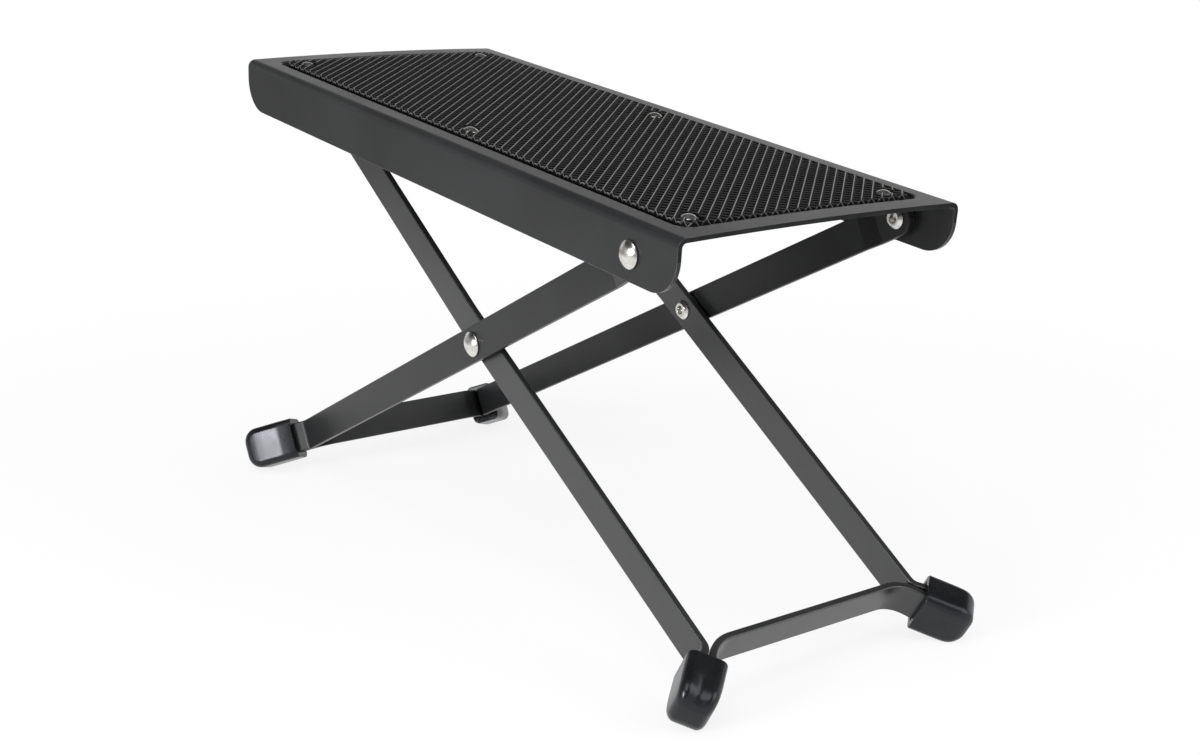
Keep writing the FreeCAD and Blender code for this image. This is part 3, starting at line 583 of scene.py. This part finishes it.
trodden_dark, trodden_pale, trodden_gloss = (0.34, 0.33, 0.31), (0.62, 0.605, 0.58), (0.16, 0.30)
tarnish_scale, scratch_scale, scratch_strength, scratch_depth = 900, 3000, 0.12, 0.1 * MM
trodden_nickel, tree, shader = new_material("trodden_nickel")
tarnish = noise(tree, tarnish_scale, detail=4, roughness=0.65)
scratches = noise(tree, scratch_scale, detail=2, roughness=0.5)
feed(tree, shader,
     Base_Color=patchy(tree, tarnish, trodden_dark, trodden_pale),
     Roughness=uneven(tree, tarnish, *trodden_gloss),
     Normal=bump(tree, scratches, scratch_strength, scratch_depth),
     Metallic=1.0)

wear(trodden_nickel, mat_rivets.values())
for name, piece in mat_rivets.items():
    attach(piece, "tray_top")
    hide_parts(name.replace("small_rivet", "mat_rivet"))


# Leg frames: each is one flat steel strip on edge, bent round to two legs, two corner ears and a crossbar.
# The outer one pivots on the tray's flanges, the inner one crosses it inside.
# The strip's edges are rolled round, and the bends were made before the powder coat went on.

# The strip's edges are rounded, and the frame coats paint a highlight line along them.
strip_edge, strip_highlight_width = 0.45 * MM, 0.4 * MM
flat_within = math.radians(0.5)
strip_tone_scale, outer_gloss, inner_gloss = 30, 0.24, 0.80


def softened(node, name, radius):
    """Copy of a CAD node's mesh, merged to whole faces and with its edges eased round."""
    piece = frame["nodes"][node].copy()
    piece.data = piece.data.copy()
    piece.name = name
    piece.parent = None
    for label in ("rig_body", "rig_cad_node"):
        del piece[label]
    bpy.context.scene.collection.objects.link(piece)
    only(piece)
    bpy.ops.object.mode_set(mode="EDIT")
    bpy.ops.mesh.select_all(action="SELECT")
    bpy.ops.mesh.customdata_custom_splitnormals_clear()
    bpy.ops.mesh.remove_doubles(threshold=2 * merge_reach)
    bpy.ops.mesh.dissolve_limited(angle_limit=flat_within)
    bpy.ops.object.mode_set(mode="OBJECT")
    finish_with(piece, "BEVEL", width=radius, segments=3, limit_method="ANGLE",
                angle_limit=math.radians(45), use_clamp_overlap=False)
    smooth(piece, degrees=35)
    return piece


outer_legs = softened("outer_leg_frame", "outer_strip_frame", strip_edge)
inner_legs = softened("inner_leg_frame", "inner_strip_frame", strip_edge)
# Both frame coats carry the painted edge highlight.
outer_coat = powder_coat("outer_frame_coat", strip_tone_scale, outer_gloss, coat_edge_highlight, strip_highlight_width)
inner_coat = powder_coat("inner_frame_coat", strip_tone_scale, inner_gloss, coat_edge_highlight, strip_highlight_width)
wear(outer_coat, [outer_legs])
wear(inner_coat, [inner_legs])
for piece, body, node in ((outer_legs, "outer_frame", "outer_leg_frame"),
                          (inner_legs, "inner_frame", "inner_leg_frame")):
    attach(piece, body)
    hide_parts(node)


# Rubber feet: moulded boots pushed over the strip's corner ears, semi-gloss black.
# Each is a closed-toe sleeve, and the corner it stands on is worn flat. The outer pair is pushed up to the
# bend of the legs; the most worn one has sunk between the two sides of the ear's loop inside it.

boot_length, boot_width, boot_height = 19 * MM, 13.6 * MM, 17.2 * MM
boot_wall, toe_wall, toe_radius, boot_edge_radius = 2.3 * MM, 3 * MM, 6 * MM, 2.8 * MM
lip_radius, outer_sleeve, sleeve_taper = 0.5 * MM, 3.5 * MM, 0.88
narrow_from, toe_narrowing, narrowing_power = -0.1 * boot_length, 0.18, 2.5
dent_half_width, dent_depth, dent_push = boot_width / 2 - boot_edge_radius, 1.1 * MM, 0.4
dent_from, dent_run = -0.15 * boot_length, 0.4 * boot_length
width_cuts, length_cuts, toe_cuts, edge_cuts = 12, 7, 10, 6
toe_start = boot_length / 2 - toe_radius
ear_angle = math.radians(45)

bpy.ops.object.select_all(action="DESELECT")
bpy.ops.mesh.primitive_cube_add(size=1)
boot = bpy.context.object
boot.scale = (boot_length, boot_width, boot_height)
bpy.ops.object.transform_apply(scale=True)
bpy.ops.object.mode_set(mode="EDIT")
pick(boot, "EDGE", lambda edge: near(middle(edge).x, boot_length / 2) and near(middle(edge).y, 0))
bpy.ops.mesh.bevel(offset=toe_radius, segments=toe_cuts, affect="EDGES")


def along_a_side(edge):
    place = middle(edge)
    return near(abs(place.y), boot_width / 2) and not near(place.x, -boot_length / 2)


pick(boot, "EDGE", along_a_side)
bpy.ops.mesh.bevel(offset=boot_edge_radius, segments=edge_cuts, affect="EDGES")
pick(boot, "EDGE", lambda edge: near(middle(edge).x, -boot_length / 2))
bpy.ops.mesh.bevel(offset=lip_radius, segments=3, affect="EDGES")
pick(boot, "FACE", lambda face: face.normal.x < -0.99)
bpy.ops.mesh.inset(thickness=boot_wall - lip_radius)
bpy.ops.mesh.extrude_region_move(TRANSFORM_OT_translate={"value": (boot_length - toe_wall, 0, 0)})


def cut_across(place, direction):
    """Cuts the selected faces along a plane."""
    bpy.ops.mesh.bisect(plane_co=place, plane_no=direction, threshold=merge_reach)


# Even strips over the top, the length and the toe's rounded sides, for the shape to bend at
for step in range(1, width_cuts):
    bpy.ops.mesh.select_all(action="SELECT")
    cut_across((0, dent_half_width * (2 * step / width_cuts - 1), 0), (0, 1, 0))
for step in range(1, length_cuts + 1):
    bpy.ops.mesh.select_all(action="SELECT")
    cut_across((toe_start - (toe_start + boot_length / 2) * (1 - step / length_cuts), 0, 0), (1, 0, 0))
for step in range(1, toe_cuts):
    pick(boot, "FACE", lambda face: abs(face.normal.y) > 0.99 and middle(face).x > toe_start)
    toe_turn = math.pi / 2 * step / toe_cuts
    cut_across((toe_start + (toe_radius - boot_edge_radius) * math.sin(toe_turn), 0, 0), (1, 0, 0))
bpy.ops.object.mode_set(mode="OBJECT")

# The outside narrows towards the toe, and the hollow keeps its width
hollow = Vector((boot_length / 2 - toe_wall, boot_width / 2 - boot_wall, boot_height / 2 - boot_wall))
for vert in boot.data.vertices:
    inside = [abs(value) < limit + tolerance for value, limit in zip(vert.co.yz, hollow.yz)]
    if vert.co.x < hollow.x + tolerance and all(inside):
        continue
    to_toe = max(0.0, vert.co.x - narrow_from) / (boot_length / 2 - narrow_from)
    vert.co.y *= 1 - toe_narrowing * to_toe ** narrowing_power


def span(node, direction):
    """Lowest and highest reach of a CAD node along a direction."""
    reaches = [vert.co @ direction for vert in frame["nodes"][node].data.vertices]
    return min(reaches), max(reaches)


scissor_point = joint_places["scissor_fold"]
rod_middle = sum(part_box("lock_rod"), Vector()) / 2
outer_slope = math.atan2(hinge_point.z - scissor_point.z, hinge_point.x - scissor_point.x)
inner_slope = math.atan2(rod_middle.z - scissor_point.z, scissor_point.x - rod_middle.x)
boot_places = {}
for which, slope, leftward in (("outer", outer_slope, -1), ("inner", inner_slope, 1)):
    for side_name, side in (("near", -1), ("far", 1)):
        node = "rubber_foot_%s_%s" % (which, side_name)
        down_leg = Vector((leftward * math.cos(slope), 0, -math.sin(slope)))
        upward = Vector((leftward * math.sin(slope), 0, math.cos(slope)))
        along = down_leg * math.cos(ear_angle) + Vector((0, side, 0)) * math.sin(ear_angle)
        across = upward.cross(along)
        axes = (along, across, upward)
        place = Matrix(axes).transposed().to_4x4()
        place.translation = sum((axis * sum(span(node, axis)) / 2 for axis in axes), Vector())
        boot_places[node] = place
boots = copies_at(boot, {node.replace("foot", "boot"): place for node, place in boot_places.items()})

# The worn boot's dent, the outer boots' longer sleeves, and each boot's flat on the floor
worn_place = boot_places["rubber_foot_inner_near"]
for vert in boots["rubber_boot_inner_near"].data.vertices:
    spot = worn_place.inverted() @ vert.co
    outside = spot.z > hollow.z or spot.x > hollow.x + tolerance
    if outside and spot.z > 0 and abs(spot.y) < dent_half_width:
        to_toe = min(1.0, max(0.0, spot.x - dent_from) / dent_run)
        to_top = spot.z / (boot_height / 2)
        dip = dent_depth * to_toe * to_top * (1 + math.cos(math.pi * spot.y / dent_half_width)) / 2
        vert.co = worn_place @ (spot - Vector((dent_push * dip, 0, dip)))
for name, piece in boots.items():
    if "outer" in name:
        place = boot_places[name.replace("boot", "foot")]
        for vert in piece.data.vertices:
            spot = place.inverted() @ vert.co
            if spot.x < lip_radius - boot_length / 2 + tolerance:
                vert.co = place @ Vector((spot.x - outer_sleeve, spot.y * sleeve_taper, spot.z))
    only(piece)
    bpy.ops.object.mode_set(mode="EDIT")
    bpy.ops.mesh.select_all(action="SELECT")
    bpy.ops.mesh.bisect(plane_co=(0, 0, 0), plane_no=(0, 0, -1), clear_outer=True, use_fill=True,
                        threshold=merge_reach)
    bpy.ops.object.mode_set(mode="OBJECT")
    smooth(piece, degrees=50)

boot_black, boot_bloom = (0.0055, 0.0056, 0.0064), (0.0105, 0.0106, 0.0118)
boot_scuff, boot_scuff_share, boot_gloss = (0.030, 0.030, 0.032), 0.5, (0.24, 0.32)
bloom_scale, grain_scale, grain_strength, grain_depth = 90, 2200, 0.08, 0.1 * MM
foot_rubber, tree, shader = new_material("foot_rubber")
bloom = noise(tree, bloom_scale, detail=4, roughness=0.6)
grain = noise(tree, grain_scale, detail=2, roughness=0.5)
edge_mask_node = add_group(tree, edge_rub_and_highlight, Width=0.6 * MM, Break_Up=600)
skin = patchy(tree, bloom, boot_black, boot_bloom)
scuffs = sum_node(tree, "MULTIPLY", edge_mask_node.outputs["Mask"], boot_scuff_share)
feed(tree, shader,
     Base_Color=mix_colour(tree, scuffs, skin, boot_scuff),
     Roughness=uneven(tree, bloom, *boot_gloss),
     Normal=bump(tree, grain, grain_strength, grain_depth),
     Specular_IOR_Level=0.36,
     Specular_Tint=(0.90, 0.93, 1.0, 1))

wear(foot_rubber, boots.values())
for name, piece in boots.items():
    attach(piece, "outer_frame" if "outer" in name else "inner_frame")
    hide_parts(name.replace("boot", "foot"))


# Pivot rivets: semi-tubular rivets of nickel-plated steel, with domed heads outside and rolled tails inside.
# The hinge pair joins the outer legs to the tray's flanges, the scissor pair joins the two frames.

head_radius, head_rim, head_dome, shank_radius = 4.5 * MM, 0.5 * MM, 2.4 * MM, 2.5 * MM
tail_length, tail_radius, bore_radius, bore_depth = 1.2 * MM, 3.8 * MM, 1.6 * MM, 2 * MM
pivot_rivets = {}
for pivot in ("hinge", "scissor"):
    places = {}
    for side_name, outward in (("near", -1), ("far", 1)):
        node = "%s_rivet_%s" % (pivot, side_name)
        low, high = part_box(node)
        length = high.y - low.y
        seat = (low + high) / 2 + Vector((0, outward * (length / 2 - head_dome), 0))
        turned_out = Matrix.Rotation(-outward * math.pi / 2, 4, "X")
        places[node.replace("rivet", "pin")] = Matrix.Translation(seat) @ turned_out
    grip = length - head_dome - tail_length
    rivet = domed_rivet(pivot + "_pin", head_radius, head_rim, head_dome, shank_radius, grip,
                        (tail_length, tail_radius), (bore_radius, bore_depth))
    pivot_rivets.update(copies_at(rivet, places))

nickel_warm, nickel_pale, nickel_dull = (0.66, 0.64, 0.60), (0.80, 0.785, 0.75), (0.33, 0.31, 0.28)
nickel_gloss, dull_share, plating_scale = (0.16, 0.30), 0.6, 420
fine_scale, fine_strength, fine_depth = 2600, 0.10, 0.1 * MM
nickel, tree, shader = new_material("bright_nickel")
plating = noise(tree, plating_scale, detail=4, roughness=0.6)
fine_scratches = noise(tree, fine_scale, detail=2, roughness=0.5)
edge_mask_node = add_group(tree, edge_rub_and_highlight, Width=0.4 * MM, Break_Up=1500)
plate = patchy(tree, plating, nickel_warm, nickel_pale)
dulled = sum_node(tree, "MULTIPLY", edge_mask_node.outputs["Mask"], dull_share)
feed(tree, shader,
     Base_Color=mix_colour(tree, dulled, plate, nickel_dull),
     Roughness=uneven(tree, plating, *nickel_gloss),
     Normal=bump(tree, fine_scratches, fine_strength, fine_depth),
     Metallic=1.0)

wear(nickel, pivot_rivets.values())
for name, piece in pivot_rivets.items():
    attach(piece, "outer_frame")
    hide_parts(name.replace("pin", "rivet"))


# Washers: thin rings punched from zinc-plated sheet, with their edges eased by the punch.
# One pair lies between flange and leg, the other between the two frames, each round its rivet.

washer_edge = 0.1 * MM
zinc_dark, zinc_light, zinc_matt = (0.30, 0.305, 0.31), (0.48, 0.485, 0.495), (0.32, 0.48)
spangle_scale, spangle_strength, spangle_depth = 800, 0.10, 0.1 * MM
zinc, tree, shader = new_material("plain_washer")
spangle = noise(tree, spangle_scale, detail=3, roughness=0.6)
feed(tree, shader,
     Base_Color=patchy(tree, spangle, zinc_dark, zinc_light),
     Roughness=uneven(tree, spangle, *zinc_matt),
     Normal=bump(tree, spangle, spangle_strength, spangle_depth),
     Metallic=0.9)
for kind, ring in (("hinge_washer", "flange_ring"), ("scissor_spacer", "scissor_ring")):
    for side_name in ("near", "far"):
        node = "%s_%s" % (kind, side_name)
        washer = softened(node, "%s_%s" % (ring, side_name), washer_edge)
        wear(zinc, [washer])
        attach(washer, "outer_frame")
        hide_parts(node)


# Height lock: a round steel cross rod peened into the inner legs' upper ends, and two racks cut from sheet
# with notches for it, welded under the recess. All of it is powder coated with the frames.

rod_edge, rack_edge = 0.2 * MM, 0.25 * MM
for node, name, body, edge in (("lock_rod", "cross_rod", "inner_frame", rod_edge),
                               ("height_rack_near", "notched_rack_near", "tray_top", rack_edge),
                               ("height_rack_far", "notched_rack_far", "tray_top", rack_edge)):
    lock_piece = softened(node, name, edge)
    wear(outer_coat, [lock_piece])
    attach(lock_piece, body)
    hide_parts(node)


# Studio: pale floor that runs out to white, a white backdrop behind, a dimmer room in front,
# and three soft lamps. The floor shows faint shadows round the stool only, and mirrored in the coat
# it grows darker with distance.

floor_size, floor_white = 12.0, (0.90, 0.90, 0.90)
shade_from, shade_to, shade_white = 0.15, 0.5, 0.84
dim_from, dim_to, dim_share = 0.4, 1.1, 0.72
bpy.ops.object.select_all(action="DESELECT")
bpy.ops.mesh.primitive_plane_add(size=floor_size, location=(0, 0, 0))
floor = bpy.context.object
floor.name = "studio_floor"


def mirrored_rays(tree, rays):
    """One for a ray that met the object's gloss first, else nought."""
    return sum_node(tree, "MAXIMUM", rays.outputs["Is Glossy Ray"], rays.outputs["Is Transmission Ray"])


floor_paint = bpy.data.materials.new("studio_white")
floor_paint.use_nodes = True
tree = floor_paint.node_tree
tree.nodes.clear()
diffuse = node_in(tree, "ShaderNodeBsdfDiffuse", Color=(*floor_white, 1))
rays = tree.nodes.new("ShaderNodeLightPath")
place = tree.nodes.new("ShaderNodeTexCoord").outputs["Object"]
distance = tree.nodes.new("ShaderNodeVectorMath")
distance.operation = "LENGTH"
tree.links.new(place, distance.inputs[0])
fade = spread(tree, distance.outputs["Value"], shade_from, shade_to, shade_white, 1.0)
dimming = spread(tree, distance.outputs["Value"], dim_from, dim_to, 0.0, dim_share)
mirrored = mirrored_rays(tree, rays)
seen = sum_node(tree, "MULTIPLY", rays.outputs["Is Camera Ray"], fade)
lost_far_off = sum_node(tree, "MULTIPLY", mirrored, dimming)
glow = node_in(tree, "ShaderNodeEmission", Color=(1, 1, 1, 1),
               Strength=sum_node(tree, "SUBTRACT", 1.0, lost_far_off))
mixed = node_in(tree, "ShaderNodeMixShader", Fac=sum_node(tree, "MAXIMUM", seen, mirrored))
tree.links.new(diffuse.outputs[0], mixed.inputs[1])
tree.links.new(glow.outputs[0], mixed.inputs[2])
tree.links.new(mixed.outputs[0], tree.nodes.new("ShaderNodeOutputMaterial").inputs["Surface"])
wear(floor_paint, [floor])

ambient = 0.45
backdrop_top, ceiling_start, ceiling_white = 0.32, 0.45, 0.12
room_front, room_back, front_white = -0.5, 0.15, 0.35
world = bpy.data.worlds.new("studio")
bpy.context.scene.world = world
world.use_nodes = True
tree = world.node_tree
rays = tree.nodes.new("ShaderNodeLightPath")
direction = tree.nodes.new("ShaderNodeTexCoord").outputs["Generated"]
parts = node_in(tree, "ShaderNodeSeparateXYZ", Vector=direction)
backdrop = spread(tree, parts.outputs["Z"], backdrop_top, ceiling_start, 1.0, ceiling_white)
room = spread(tree, parts.outputs["Y"], room_front, room_back, front_white, 1.0)
surroundings = sum_node(tree, "MULTIPLY", backdrop, room)
over_ambient = sum_node(tree, "SUBTRACT", surroundings, ambient)
mirrored_part = sum_node(tree, "MULTIPLY", mirrored_rays(tree, rays), over_ambient)
strength = sum_node(tree, "ADD", mirrored_part, ambient)
seen_white = sum_node(tree, "MAXIMUM", strength, rays.outputs["Is Camera Ray"])
feed(tree, tree.nodes["Background"], Color=(1, 1, 1, 1), Strength=seen_white)


def lamp(name, size, power, place, target):
    """Square soft lamp aimed at a point."""
    light = bpy.data.lights.new(name, "AREA")
    light.size = size
    light.energy = power
    holder = bpy.data.objects.new(name, light)
    bpy.context.scene.collection.objects.link(holder)
    holder.location = place
    holder.rotation_euler = (Vector(target) - Vector(place)).to_track_quat("-Z", "Y").to_euler()


lamp("top_softbox", size=0.9, power=7, place=(0.45, -0.6, 1.2), target=(0, 0, 0.1))
lamp("front_softbox", size=0.32, power=11, place=(0.206, -1.15, 0.347), target=(-0.1, -0.05, 0.03))
lamp("right_softbox", size=0.9, power=7, place=(1.0, 0.55, 0.75), target=(-0.1, 0, 0.05))


# Camera: the photograph's viewpoint, worked out from the tray's corners and the rivets.
# The photograph is a crop, so the middle of its lens lies off the middle of its frame.

camera_place = Vector((520.40, -358.82, 249.27)) * MM
camera_turn = [math.radians(degrees) for degrees in (71.9945, -1.3380, 51.9784)]
focal_pixels, centre_x, centre_y = 1737.42, 681.96, 438.15
image_width, image_height = 1200, 755
lens = bpy.data.cameras.new("photo_view")
lens.sensor_width = 36
lens.lens = focal_pixels / image_width * lens.sensor_width
lens.shift_x = (image_width / 2 - centre_x) / image_width
lens.shift_y = (centre_y - image_height / 2) / image_width
lens.clip_start, lens.clip_end = 0.01, 50
camera = bpy.data.objects.new("photo_view", lens)
camera.location = camera_place
camera.rotation_euler = camera_turn
bpy.context.scene.collection.objects.link(camera)
bpy.context.scene.camera = camera
bpy.context.scene.view_settings.view_transform = "Standard"
